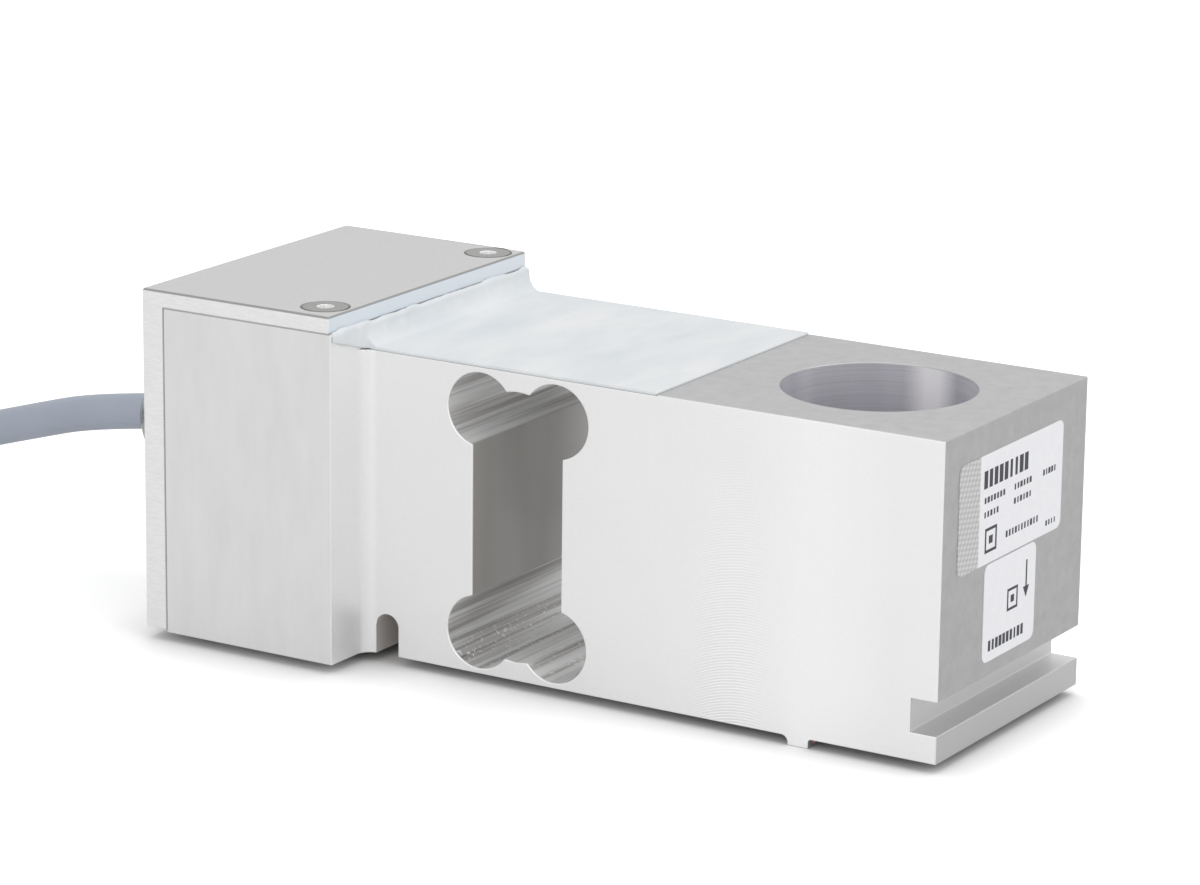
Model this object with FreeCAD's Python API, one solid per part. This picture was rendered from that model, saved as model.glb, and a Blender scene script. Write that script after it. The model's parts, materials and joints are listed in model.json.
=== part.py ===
import FreeCAD, Part
import math
import os

os.makedirs("parts", exist_ok=True)
V = FreeCAD.Vector

# Beam: X runs from the cable end to the load end, Z is up, millimetres.
cell_length = 150.0
beam_width = 51.1
beam_height = 53.8
head_length = 39.2
head_width = 61.4
head_rise = 4.16
head_fillet = 2.6

# Window across the beam: four round lobes joined by a square opening.
window_x = 69.9
window_half_width = 8.87
lobe_radius = 6.4
lobe_spacing_x = 14.85
thin_wall = 1.1
thin_wall_below = 0.95
arch_radius = 10.0
arch_rise = 4.05

# Relief slot, end groove and stop rib on the underside.
slot_x = 43.7
slot_width = 4.48
slot_height = 7.27
groove_depth = 4.85
groove_bottom = 4.81
groove_height = 5.66
rib_x = 124.55
rib_width = 3.9
rib_height = 1.6
rib_root_inner = 1.2
rib_root_outer = 0.5
dab_width = 0.8
dab_length = 3.2
dab_height = 0.6

# Load bore with its tapped holes, and the tapped holes under the head.
bore_x = 124.3
bore_radius = 16.4
bore_depth = 38.0
thread_radius = 2.5
bore_thread_spacing = 18.0
head_thread_spacing_x = 20.0
head_thread_spacing_y = 40.0
head_thread_depth = 14.0

# Pocket in the head, with the ways in for the gauge leads.
pocket_start = 9.2
pocket_end = 33.0
pocket_width = 38.0
pocket_floor = 20.0
lead_hole_radius = 1.4
lead_hole_rise = 1.5
passage_radius = 1.5
passage_x = 54.6
passage_rise = 24.6

# Cover with its seal and screws.
cover_end_thick = 4.2
cover_top_thick = 2.94
cover_lap = 0.4
cover_gap_below = 0.5
cover_chamfer = 0.3
seal_thick = 0.2
screw_x = 33.9
screw_front_y = -24.5
screw_back_y = 26.0
screw_radius = 2.0
screw_head_radius = 4.1
screw_head_rim = 0.2
screw_head_height = 2.3
screw_length = 12.0
screw_socket = 2.5
screw_socket_depth = 1.5
screw_clearance = 0.15
screw_hole_depth = 10.0
tap_clearance = 0.05

# Cable gland; its lengths run back from the tip of the nut.
gland_height = 29.6
gland_reach = 20.9
gland_nut_length = 12.0
gland_nut_flats = 17.0
gland_flange_flats = 18.0
gland_flange_thick = 4.5
gland_ring_thick = 1.0
gland_ring_radius = 8.9
gland_ring_clearance = 0.05
gland_thread_radius = 7.9
gland_thread_clearance = 0.1
gland_neck_radius = 7.3
gland_neck_cover = 3.0
gland_way_clearance = 0.35
gland_cover_clearance = 0.3
bush_radius = 5.6
bush_clearance = 0.1
bush_start = 4.0
bush_length = 10.0
nose_hole_clearance = 0.25
nose_outline = [(0.0, 3.9), (0.4, 4.9), (2.6, 7.3), (5.5, 8.2)]

# Cable, its cores and its hank.
cable_radius = 3.25
inlet_end = 14.0
core_count = 6
core_width = 1.0
core_ring = 1.9
hank_layers = 5
hank_pitch = 6.6
hank_turns_across = 2
hank_inner_radius = 20.2
hank_straight = 69.9
hank_end_x = -204.5
hank_stub = 24.4
tail_length = 30.0
tail_start = 30.0
end_core_length = 22.0
end_core_spread = 1.6
ferrule_flats = 1.5
ferrule_length = 7.0
tie_thick = 1.2
tie_width = 4.6
tie_offset = 14.0
tie_head = 6.0

# The cable's points from the gland to the hank, in the part's frame.
cable_points = [(-95.96, 0.0, 31.2), (-110.0, 0.0, 29.2), (-122.5, 0.0, 25.6),
                (-136.0, -1.2, 21.7), (-151.5, -7.6, 17.0), (-166.5, -18.0, 11.6),
                (-182.0, -25.0, 7.2), (-197.5, -26.8, 4.45), (-209.5, -26.8, 4.45)]

# Strain gauges, their leads and the silicone over them.
gauge_length = 8.0
gauge_width = 6.0
gauge_thick = 0.1
gauge_recess = 0.15
lead_width = 0.25
lead_tab = 1.5
lead_aside = 4.5
lead_pitch = 0.5
coat_thick = 0.4
coat_end = 96.9
coat_climb = 2.2
coat_edge = 0.5
coat_below_top = 0.1
coat_lobe_inset = 0.4
coat_lobe_drop = 1.3
coat_inset_below = 3.0

# Compensation board in the pocket.
board_width = 34.0
board_height = 23.0
board_thick = 1.6
board_bottom = 29.5
spacer_length = 2.0
spacer_flats = 4.5
board_screw_inset = 2.5
board_screw_radius = 1.25
board_screw_head_flats = 4.0
board_screw_head = 1.4
board_screw_grip = 4.0
board_screw_clearance = 0.1
pin_width = 0.64
pin_length = 2.0
pin_pitch = 3.0
core_pin_height = 8.5
top_pin_height = 19.5
low_pin_height = 14.0
lead_pin_inner = 9.0
lead_pin_pitch = 2.5
lead_drop = 3.0
resistor_count = 4
resistor_size = 3.2
resistor_thick = 1.2
resistor_pitch = 7.0
resistor_height = 3.5

# Labels on the load end.
label_thick = 0.12
label_corner = 1.5
rating_label_start = 5.2
rating_label_width = 37.0
rating_label_bottom = 30.0
rating_label_height = 18.5
serial_label_start = 15.0
serial_label_width = 18.5
serial_label_bottom = 13.0
serial_label_height = 16.7

# Places that follow from the sizes. The origin is under the middle of the cell.
cell_start = -(cell_length + label_thick) / 2
cell_end = cell_start + cell_length
base = rib_height
beam_top = base + beam_height
gauge_bed = beam_top - gauge_recess
back = head_width / 2
front = back - beam_width
middle = (front + back) / 2
head_start = cell_start + cover_end_thick + seal_thick
head_end = cell_start + head_length
head_top = beam_top + head_rise
cover_base = head_top + seal_thick
cover_top = cover_base + cover_top_thick
lobe_xs = [cell_start + window_x + side * lobe_spacing_x / 2 for side in (-1, 1)]
lobe_high = beam_top - thin_wall - lobe_radius
lobe_low = base + thin_wall_below + lobe_radius
gland_z = base + gland_height
gland_tip = cell_start - gland_reach
wall_inner = cell_start + pocket_end
board_back = wall_inner - spacer_length
board_front = board_back - board_thick
board_base = base + board_bottom
pin_end = board_front - pin_length
hank_outer_radius = hank_inner_radius + (hank_turns_across - 1) * hank_pitch
hank_reach = hank_outer_radius + cable_radius
hank_near = hank_end_x - hank_reach
hank_far = hank_near - hank_straight
hank_low = tie_thick
hank_top = hank_low + hank_layers * hank_pitch
tail_z = hank_top + cable_radius
tail_y = hank_inner_radius + hank_pitch / 2
tail_end = hank_far + tail_start + tail_length


def block(xs, ys, zs):
    return Part.makeBox(xs[1] - xs[0], ys[1] - ys[0], zs[1] - zs[0], V(xs[0], ys[0], zs[0]))


def rod(radius, start, end):
    along = V(*end) - V(*start)
    return Part.makeCylinder(radius, along.Length, V(*start), along)


def prism(points, ys):
    corners = [V(x, ys[0], z) for x, z in points]
    face = Part.Face(Part.makePolygon(corners + corners[:1]))
    return face.extrude(V(0, ys[1] - ys[0], 0))


def turned(points, x, z):
    # Points are (along, radius), revolved about a line along X.
    corners = [V(x + along, 0, z + radius) for along, radius in points]
    face = Part.Face(Part.makePolygon(corners + corners[:1]))
    return face.revolve(V(x, 0, z), V(1, 0, 0), 360)


def hexagon(flats, start, end):
    along = V(*end) - V(*start)
    turn = FreeCAD.Rotation(V(0, 0, 1), along)
    reach = flats / math.sqrt(3)
    corners = [V(reach * math.cos(math.radians(60 * i)), reach * math.sin(math.radians(60 * i)), 0)
               for i in range(7)]
    face = Part.Face(Part.makePolygon([V(*start) + turn.multVec(corner) for corner in corners]))
    return face.extrude(along)


def edges_at(shape, **place):
    picked = []
    for edge in shape.Edges:
        box = edge.BoundBox
        spans = {"x": (box.XMin, box.XMax), "y": (box.YMin, box.YMax), "z": (box.ZMin, box.ZMax)}
        if all(abs(end - place[key]) < 0.01 for key in place for end in spans[key]):
            picked.append(edge)
    return picked


def bends(points, share=0.3):
    # Each corner's radius and the two ends of its arc.
    found = []
    for before, corner, after in zip(points, points[1:], points[2:]):
        back_way = (before - corner)
        on_way = (after - corner)
        turn = math.pi - back_way.getAngle(on_way)
        cut = share * min(back_way.Length, on_way.Length)
        ends = [corner + V(way).normalize() * cut for way in (back_way, on_way)]
        found.append((cut / math.tan(turn / 2), corner, ends))
    return found


def tube(points, radius):
    # Each bend is two mitred corners, at the ends of its arc.
    points = [V(*point) for point in points]
    corners = [end for bend_radius, corner, ends in bends(points) for end in ends]
    path = Part.makePolygon([points[0]] + corners + [points[-1]])
    section = Part.Wire(Part.makeCircle(radius, points[0], points[1] - points[0]))
    return path.makePipeShell([section], True, False, 1), path.Length


def wire(points, profile):
    # A thin wire or ribbon with mitred corners.
    path = Part.makePolygon([V(*point) for point in points])
    return path.makePipeShell([profile], True, False, 1)


def ribbon(points):
    # It leaves its first point along X.
    x, y, z = points[0]
    half = lead_width / 2
    corners = [V(x, y - half, z - half), V(x, y + half, z - half), V(x, y + half, z + half), V(x, y - half, z + half)]
    return wire(points, Part.makePolygon(corners + corners[:1]))


def core(points):
    # A stranded core is near enough six-sided; it leaves its first point along X too.
    x, y, z = points[0]
    reach = core_width / 2
    turns = [math.radians(60 * i) for i in range(7)]
    return wire(points, Part.makePolygon([V(x, y + reach * math.cos(a), z + reach * math.sin(a)) for a in turns]))


def racetrack(radius, low, high):
    side = block((hank_far, hank_near), (-radius, radius), (low, high))
    near_end = rod(radius, (hank_near, 0, low), (hank_near, 0, high))
    far_end = rod(radius, (hank_far, 0, low), (hank_far, 0, high))
    return side.fuse([near_end, far_end]).removeSplitter()


def window():
    across = (front - 1, back + 1)
    opening = block((cell_start + window_x - window_half_width, cell_start + window_x + window_half_width),
                    across, (lobe_low, lobe_high))
    lobes = [rod(lobe_radius, (x, across[0], z), (x, across[1], z))
             for x in lobe_xs for z in (lobe_low, lobe_high)]
    arches = []
    for z, way in ((lobe_high, 1), (lobe_low, -1)):
        centre = z + way * (arch_rise - arch_radius)
        arch = rod(arch_radius, (cell_start + window_x, across[0], centre),
                   (cell_start + window_x, across[1], centre))
        between = block(lobe_xs, across, sorted((z, z + way * lobe_radius)))
        arches.append(arch.common(between))
    return opening.fuse(lobes + arches)


def relief_slot():
    across = (front - 1, back + 1)
    half = slot_width / 2
    x = cell_start + slot_x
    round_z = base + slot_height - half
    top = rod(half, (x, across[0], round_z), (x, across[1], round_z))
    return block((x - half, x + half), across, (base - 1, round_z)).fuse(top)


def board_screw_places():
    # Two screws, at opposite corners of the board.
    half = board_width / 2 - board_screw_inset
    return [(-half, board_base + board_screw_inset), (half, board_base + board_height - board_screw_inset)]


def spring_body():
    beam = block((head_start, cell_end), (front, back), (base, beam_top))
    head = block((head_start, head_end), (-back, back), (base, head_top))
    rib_xs = (cell_start + rib_x - rib_width / 2, cell_start + rib_x + rib_width / 2)
    rib = block(rib_xs, (front, back), (0, base))
    body = beam.fuse([head, rib]).removeSplitter()
    body = body.makeFillet(head_fillet, edges_at(body, x=head_end, y=front))
    body = body.makeFillet(min(rib_root_inner, 0.9 * rib_height), edges_at(body, x=rib_xs[0], z=base))
    body = body.makeFillet(min(rib_root_outer, 0.9 * rib_height), edges_at(body, x=rib_xs[1], z=base))
    groove = block((cell_end - groove_depth, cell_end + 1), (front - 1, back + 1),
                   (base + groove_bottom, base + groove_bottom + groove_height))
    pocket = block((cell_start + pocket_start, wall_inner), (-pocket_width / 2, pocket_width / 2),
                   (base + pocket_floor, head_top + 1))
    bore = rod(bore_radius, (cell_start + bore_x, middle, beam_top - bore_depth),
               (cell_start + bore_x, middle, beam_top + 1))
    bed = block((head_end, cell_start + coat_end), (front - 1, back + 1), (gauge_bed, beam_top + 1))
    cuts = [window(), relief_slot(), groove, pocket, bore, bed]
    half = bore_thread_spacing / 2
    for x in (cell_start + bore_x - half, cell_start + bore_x + half):
        for y in (middle - half, middle + half):
            cuts.append(rod(thread_radius, (x, y, base - 1), (x, y, beam_top - bore_depth + 1)))
    head_x = (cell_start + head_end) / 2
    for x in (head_x - head_thread_spacing_x / 2, head_x + head_thread_spacing_x / 2):
        for y in (-head_thread_spacing_y / 2, head_thread_spacing_y / 2):
            cuts.append(rod(thread_radius, (x, y, base - 1), (x, y, base + head_thread_depth)))
    for y in (screw_front_y, screw_back_y):
        x = cell_start + screw_x
        cuts.append(rod(screw_radius + tap_clearance, (x, y, head_top - screw_hole_depth), (x, y, head_top + 1)))
    for y, z in board_screw_places():
        cuts.append(rod(board_screw_radius + tap_clearance, (wall_inner - 1, y, z),
                        (wall_inner + board_screw_grip + tap_clearance, y, z)))
    cuts.append(rod(gland_thread_radius + gland_thread_clearance, (cell_start, 0, gland_z),
                    (cell_start + pocket_start + 1, 0, gland_z)))
    lead_z = gauge_bed + lead_hole_rise
    cuts.append(rod(lead_hole_radius, (wall_inner - 1, middle, lead_z), (head_end + 1, middle, lead_z)))
    way = V(pocket_end - passage_x, 0, passage_rise).normalize()
    mouth = V(cell_start + passage_x, middle, base) - way * passage_radius * 2
    inside = V(wall_inner, middle, base + passage_rise) + way
    cuts.append(rod(passage_radius, tuple(mouth), tuple(inside)))
    return body.cut(cuts)


def head_cover():
    low = base + cover_gap_below
    edge = head_end - cover_lap
    outline = [(cell_start, low), (cell_start + cover_end_thick, low), (cell_start + cover_end_thick, cover_base),
               (edge, cover_base), (edge, cover_top), (cell_start, cover_top)]
    cover = prism(outline, (-back, back))
    rims = edges_at(cover, z=cover_top)
    cover = cover.makeChamfer(min(cover_chamfer, cover_top_thick / 2), rims)
    cuts = [rod(gland_thread_radius + gland_cover_clearance, (cell_start - 1, 0, gland_z),
                (cell_start + cover_end_thick + 1, 0, gland_z))]
    for y in (screw_front_y, screw_back_y):
        x = cell_start + screw_x
        cuts.append(rod(screw_radius + screw_clearance, (x, y, cover_base - 1), (x, y, cover_top)))
        cuts.append(countersunk(y, screw_clearance))
    return cover.cut(cuts)


def countersunk(y, clearance):
    # A countersunk head, or its seat where it is given a clearance.
    x = cell_start + screw_x
    rim_low = cover_top - screw_head_rim
    rim = rod(screw_head_radius + clearance, (x, y, rim_low), (x, y, cover_top))
    cone = Part.makeCone(screw_radius, screw_head_radius, screw_head_height - screw_head_rim,
                         V(x, y, cover_top - screw_head_height))
    if clearance:
        cone = Part.makeCone(screw_radius + clearance, screw_head_radius + clearance,
                             screw_head_height - screw_head_rim, V(x, y, cover_top - screw_head_height))
    return rim.fuse(cone)


def cover_screws():
    screws = []
    x = cell_start + screw_x
    for y in (screw_front_y, screw_back_y):
        shank = rod(screw_radius, (x, y, cover_top - screw_length), (x, y, cover_top - screw_head_height))
        socket = hexagon(screw_socket, (x, y, cover_top - screw_socket_depth), (x, y, cover_top + 1))
        screws.append(countersunk(y, 0).fuse(shank).removeSplitter().cut(socket))
    return Part.makeCompound(screws)


def cover_seal():
    low = base + cover_gap_below
    inner = cell_start + cover_end_thick
    edge = head_end - cover_lap
    outline = [(inner, low), (head_start, low), (head_start, head_top), (edge, head_top),
               (edge, cover_base), (inner, cover_base)]
    seal = prism(outline, (-back, back))
    cuts = [rod(gland_thread_radius + gland_cover_clearance, (inner - 1, 0, gland_z), (head_start + 1, 0, gland_z)),
            block((cell_start + pocket_start, wall_inner), (-pocket_width / 2, pocket_width / 2),
                  (head_top - 1, cover_base + 1))]
    for y in (screw_front_y, screw_back_y):
        x = cell_start + screw_x
        cuts.append(rod(screw_radius + screw_clearance, (x, y, head_top - 1), (x, y, cover_base + 1)))
    return seal.cut(cuts)


def gland_body():
    flange_end = cell_start - gland_ring_thick
    flange_start = flange_end - gland_flange_thick
    neck_start = gland_tip + gland_nut_length - 2 * gland_neck_cover
    thread_end = cell_start + pocket_start
    body = hexagon(gland_flange_flats, (flange_start, 0, gland_z), (flange_end, 0, gland_z))
    neck = rod(gland_neck_radius, (neck_start, 0, gland_z), (flange_start, 0, gland_z))
    thread = rod(gland_thread_radius, (flange_end, 0, gland_z), (thread_end, 0, gland_z))
    way = rod(cable_radius + gland_way_clearance, (neck_start - 1, 0, gland_z), (thread_end + 1, 0, gland_z))
    seat = rod(bush_radius + bush_clearance, (neck_start - 1, 0, gland_z),
               (gland_tip + bush_start + bush_length, 0, gland_z))
    return body.fuse([neck, thread]).removeSplitter().cut([way, seat])


def gland_nut():
    nose_length = nose_outline[-1][0]
    hole = cable_radius + nose_hole_clearance
    nose = turned([(0, hole)] + nose_outline + [(nose_length, hole)], gland_tip, gland_z)
    grip = hexagon(gland_nut_flats, (gland_tip + nose_length, 0, gland_z), (gland_tip + gland_nut_length, 0, gland_z))
    seat_start = gland_tip + bush_start
    neck_start = gland_tip + gland_nut_length - 2 * gland_neck_cover
    bush_seat = rod(bush_radius + bush_clearance, (seat_start, 0, gland_z), (neck_start + 1, 0, gland_z))
    thread = rod(gland_neck_radius, (neck_start, 0, gland_z), (gland_tip + gland_nut_length + 1, 0, gland_z))
    way = rod(hole, (gland_tip - 1, 0, gland_z), (seat_start + 1, 0, gland_z))
    return nose.fuse(grip).removeSplitter().cut([way, bush_seat, thread])


def gland_bush():
    start = gland_tip + bush_start
    outer = rod(bush_radius, (start, 0, gland_z), (start + bush_length, 0, gland_z))
    return outer.cut(rod(cable_radius, (start - 1, 0, gland_z), (start + bush_length + 1, 0, gland_z)))


def gland_seal_ring():
    start = cell_start - gland_ring_thick
    outer = rod(gland_ring_radius, (start, 0, gland_z), (cell_start, 0, gland_z))
    return outer.cut(rod(gland_thread_radius + gland_ring_clearance, (start - 1, 0, gland_z), (cell_start + 1, 0, gland_z)))


def cable_inlet():
    # The cable through the gland; its outer end is square to the cable's first run.
    inlet = rod(cable_radius, (gland_tip - 2, 0, gland_z), (cell_start + inlet_end, 0, gland_z))
    first = V(*cable_points[1]) - V(*cable_points[0])
    beyond = Part.makeCylinder(4 * cable_radius, 4 * cable_radius, V(*cable_points[0]), first)
    return inlet.cut(beyond)


def core_starts():
    angles = [2 * math.pi * i / core_count for i in range(core_count)]
    return [(core_ring * math.cos(angle), core_ring * math.sin(angle)) for angle in angles]


def core_order():
    # Cores and pins both run across the cell, so that no two cores cross.
    return sorted(range(core_count), key=lambda i: (round(core_starts()[i][0], 3), core_starts()[i][1]))


def cable_cores():
    cores = []
    start = cell_start + inlet_end
    pin_z = board_base + core_pin_height
    for place, index in enumerate(core_order()):
        y, dz = core_starts()[index]
        pin_y = (place - (core_count - 1) / 2) * pin_pitch
        points = [(start, y, gland_z + dz), (start + 3, y, gland_z + dz),
                  (pin_end - 3, pin_y, pin_z), (pin_end, pin_y, pin_z)]
        cores.append(core(points))
    return Part.makeCompound(cores)


def circuit_board():
    board = block((board_front, board_back), (-board_width / 2, board_width / 2),
                  (board_base, board_base + board_height))
    holes = [rod(board_screw_radius + board_screw_clearance, (board_front - 1, y, z), (board_back + 1, y, z))
             for y, z in board_screw_places()]
    return board.cut(holes)


def board_spacers():
    spacers = []
    for y, z in board_screw_places():
        outer = hexagon(spacer_flats, (board_back, y, z), (wall_inner, y, z))
        hole = rod(board_screw_radius + board_screw_clearance, (board_back - 1, y, z), (wall_inner + 1, y, z))
        spacers.append(outer.cut(hole))
    return Part.makeCompound(spacers)


def board_screws():
    screws = []
    for y, z in board_screw_places():
        head = hexagon(board_screw_head_flats, (board_front - board_screw_head, y, z), (board_front, y, z))
        shank = rod(board_screw_radius, (board_front, y, z), (wall_inner + board_screw_grip, y, z))
        screws.append(head.fuse(shank).removeSplitter())
    return Part.makeCompound(screws)


def pin_places():
    half = (core_count - 1) / 2
    cores = [((i - half) * pin_pitch, board_base + core_pin_height) for i in range(core_count)]
    tops = [(y, board_base + top_pin_height) for y in lead_pin_ys()]
    lows = [(y, board_base + low_pin_height) for y in lead_pin_ys()]
    return cores + tops + lows


def lead_pin_ys():
    outer = lead_pin_inner + lead_pin_pitch
    return [-outer, -lead_pin_inner, lead_pin_inner, outer]


def board_pins():
    half = pin_width / 2
    return Part.makeCompound([block((pin_end, board_front), (y - half, y + half), (z - half, z + half))
                              for y, z in pin_places()])


def trim_resistors():
    half = (resistor_count - 1) / 2
    z = board_base + resistor_height
    pieces = []
    for i in range(resistor_count):
        y = (i - half) * resistor_pitch
        pieces.append(block((board_front - resistor_thick, board_front),
                            (y - resistor_size / 2, y + resistor_size / 2), (z - 0.8, z + 0.8)))
    return Part.makeCompound(pieces)


def strain_gauge(x, top):
    low = gauge_bed if top else base - gauge_thick
    return block((x - gauge_length / 2, x + gauge_length / 2),
                 (middle - gauge_width / 2, middle + gauge_width / 2), (low, low + gauge_thick))


def lead_ways():
    # Where each lead leaves its gauge, in order across the cell, with its own gauge.
    aside = lead_aside - lead_tab
    return [(lobe_xs[1], -lead_aside, -aside), (lobe_xs[0], -lead_tab, 0),
            (lobe_xs[0], lead_tab, 0), (lobe_xs[1], lead_aside, aside)]


def top_leads():
    leads = []
    lie_z = gauge_bed + lead_width / 2
    hole_z = gauge_bed + lead_hole_rise
    for place, (gauge_x, y, aside) in enumerate(lead_ways()):
        in_hole = middle + (place - 1.5) * lead_pitch
        pin_y = lead_pin_ys()[place]
        pin_z = board_base + top_pin_height
        start_x = gauge_x - gauge_length / 2
        points = [(start_x, middle + y - aside, lie_z), (start_x - 1, middle + y - aside, lie_z)]
        if aside:
            points.append((start_x - 4, middle + y, lie_z))
        points.append((lobe_xs[0] - gauge_length, middle + y, lie_z))
        points.append((head_end + 2, in_hole, lie_z))
        points.append((head_end - 0.5, in_hole, hole_z))
        points.append((wall_inner - 0.5, in_hole, hole_z))
        points.append((pin_end - lead_drop, pin_y, hole_z))
        points.append((pin_end - lead_drop, pin_y, pin_z))
        points.append((pin_end, pin_y, pin_z))
        leads.append(ribbon(points))
    return Part.makeCompound(leads)


def low_leads():
    leads = []
    lie_z = base - lead_width / 2
    way = V(pocket_end - passage_x, 0, passage_rise).normalize()
    for place, (gauge_x, y, aside) in enumerate(lead_ways()):
        in_hole = middle + (place - 1.5) * lead_pitch
        pin_y = lead_pin_ys()[place]
        pin_z = board_base + low_pin_height
        start_x = gauge_x - gauge_length / 2
        exit_point = V(wall_inner, in_hole, base + passage_rise)
        mouth = V(cell_start + passage_x, in_hole, base)
        points = [(start_x, middle + y - aside, lie_z), (start_x - 1, middle + y - aside, lie_z)]
        if aside:
            points.append((start_x - 4, middle + y, lie_z))
            points.append((lobe_xs[0] - gauge_length / 2 - 0.5, middle + y, lie_z))
        points.append((mouth.x + 1, in_hole, lie_z))
        points.append(tuple(mouth + way * 4))
        points.append(tuple(exit_point + way))
        points.append((pin_end - lead_drop, pin_y, exit_point.z + 1.5))
        points.append((pin_end - lead_drop, pin_y, pin_z))
        points.append((pin_end, pin_y, pin_z))
        leads.append(ribbon(points))
    return Part.makeCompound(leads)


def top_coating(buried):
    skin = beam_top + coat_thick
    high = head_top - coat_below_top
    end = cell_start + coat_end
    bend = V(head_end + coat_edge + 0.3 * coat_climb, front, skin + 0.3 * (high - skin))
    corners = [V(head_end, front, high), V(head_end, front, gauge_bed), V(end, front, gauge_bed), V(end, front, skin),
               V(head_end + coat_edge + coat_climb, front, skin)]
    sides = [Part.LineSegment(a, b).toShape() for a, b in zip(corners, corners[1:])]
    climb_top = V(head_end + coat_edge, front, high)
    sides.append(Part.Arc(corners[-1], bend, climb_top).toShape())
    sides.append(Part.LineSegment(climb_top, corners[0]).toShape())
    coat = Part.Face(Part.Wire(sides)).extrude(V(0, beam_width, 0))
    lobe_front = -back + coat_lobe_inset
    lobe = [(front, gauge_bed), (lobe_front, high - coat_lobe_drop), (lobe_front, high), (front, high)]
    face_corners = [V(head_end, y, z) for y, z in lobe]
    skirt = Part.Face(Part.makePolygon(face_corners + face_corners[:1])).extrude(V(coat_edge, 0, 0))
    return coat.fuse(skirt).removeSplitter().cut(buried)


def low_coating(buried):
    start = cell_start + slot_x + slot_width / 2
    width = (front + coat_inset_below, back - coat_inset_below)
    skin = block((start, cell_start + coat_end), width, (base - coat_thick, base))
    return skin.cut(buried)


def label(start, width, bottom, height):
    low_y = front + start
    low_z = base + bottom
    plate = block((cell_end, cell_end + label_thick), (low_y, low_y + width), (low_z, low_z + height))
    corners = [edge for edge in plate.Edges if abs(edge.BoundBox.XLength - label_thick) < 0.01]
    return plate.makeFillet(label_corner, corners)


def seal_dab(body):
    x = cell_start + rib_x + rib_width / 2
    dab = block((x - 0.01, x + dab_width), (front + 1, front + 1 + dab_length), (base - dab_height, base))
    return dab.cut(body)


def cable():
    points = [V(*point) for point in cable_points]
    print("cable radii", [round(radius, 1) for radius, corner, ends in bends(points)])
    solid, length = tube(cable_points, cable_radius)
    print("cable length", round(length, 1), "volume ratio",
          round(solid.Volume / (math.pi * cable_radius ** 2 * length), 4))
    return solid


def cable_hank():
    ring = racetrack(hank_reach, hank_low, hank_top)
    ring = ring.cut(racetrack(hank_inner_radius - cable_radius, hank_low - 1, hank_top + 1))
    join = cable_points[-1]
    stub = rod(cable_radius, join, (join[0] - hank_stub, join[1], join[2]))
    tail = rod(cable_radius, (tail_end - tail_length, tail_y, tail_z), (tail_end, tail_y, tail_z))
    saddle = block((tail_end - tail_length, tail_end), (tail_y - 1, tail_y + 1), (hank_top - 1, tail_z))
    return ring.fuse([stub, tail, saddle]).removeSplitter()


def end_cores():
    cores = []
    for y, dz in core_starts():
        spread_y = tail_y + end_core_spread * y
        cores.append(core([(tail_end, tail_y + y, tail_z + dz), (tail_end + 6, tail_y + y, tail_z + dz),
                           (tail_end + end_core_length - 6, spread_y, tail_z + dz),
                           (tail_end + end_core_length, spread_y, tail_z + dz)]))
    return Part.makeCompound(cores)


def core_ferrules():
    ferrules = []
    x = tail_end + end_core_length
    for y, dz in core_starts():
        place = (tail_y + end_core_spread * y, tail_z + dz)
        ferrules.append(hexagon(ferrule_flats, (x, *place), (x + ferrule_length, *place)))
    return Part.makeCompound(ferrules)


def cable_tie(side):
    # A flat strap round one side of the hank, with its square head outside.
    x = hank_near - hank_straight / 2 - side * tie_offset
    inner = hank_inner_radius - cable_radius
    ys = sorted((side * inner, side * hank_reach))
    outer = block((x - tie_width / 2, x + tie_width / 2), (ys[0] - tie_thick, ys[1] + tie_thick),
                  (0, hank_top + tie_thick))
    hole = block((x - tie_width, x + tie_width), ys, (hank_low, hank_top))
    head_y = sorted((side * (inner - tie_thick), side * (inner - tie_thick - 4)))
    head = block((x - tie_head / 2, x + tie_head / 2), head_y, (hank_top - tie_head, hank_top))
    return outer.fuse(head).removeSplitter().cut(hole)


def main():
    body = spring_body()
    gauges = [strain_gauge(x, top) for top in (True, False) for x in lobe_xs]
    leads = top_leads()
    leads_below = low_leads()
    pieces = {
        "spring_body": body,
        "head_cover": head_cover(),
        "cover_seal": cover_seal(),
        "cover_screws": cover_screws(),
        "gland_body": gland_body(),
        "gland_nut": gland_nut(),
        "gland_bush": gland_bush(),
        "gland_seal_ring": gland_seal_ring(),
        "cable_inlet": cable_inlet(),
        "cable_cores": cable_cores(),
        "circuit_board": circuit_board(),
        "board_spacers": board_spacers(),
        "board_screws": board_screws(),
        "board_pins": board_pins(),
        "trim_resistors": trim_resistors(),
        "top_leads": leads,
        "low_leads": leads_below,
        "top_coating": top_coating(gauges[:2] + leads.Solids),
        "low_coating": low_coating(gauges[2:] + leads_below.Solids),
        "rating_label": label(rating_label_start, rating_label_width, rating_label_bottom, rating_label_height),
        "serial_label": label(serial_label_start, serial_label_width, serial_label_bottom, serial_label_height),
        "seal_dab": seal_dab(body),
        "cable": cable(),
        "cable_hank": cable_hank(),
        "cable_tie_front": cable_tie(-1),
        "cable_tie_back": cable_tie(1),
        "end_cores": end_cores(),
        "core_ferrules": core_ferrules(),
    }
    for index, gauge in enumerate(gauges):
        pieces[f"strain_gauge_{index + 1}"] = gauge
    for name, shape in pieces.items():
        shape.exportStep(f"parts/{name}.step")


main()
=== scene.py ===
import json
import math

import bmesh
import bpy
from mathutils import Euler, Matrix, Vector, noise


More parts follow.
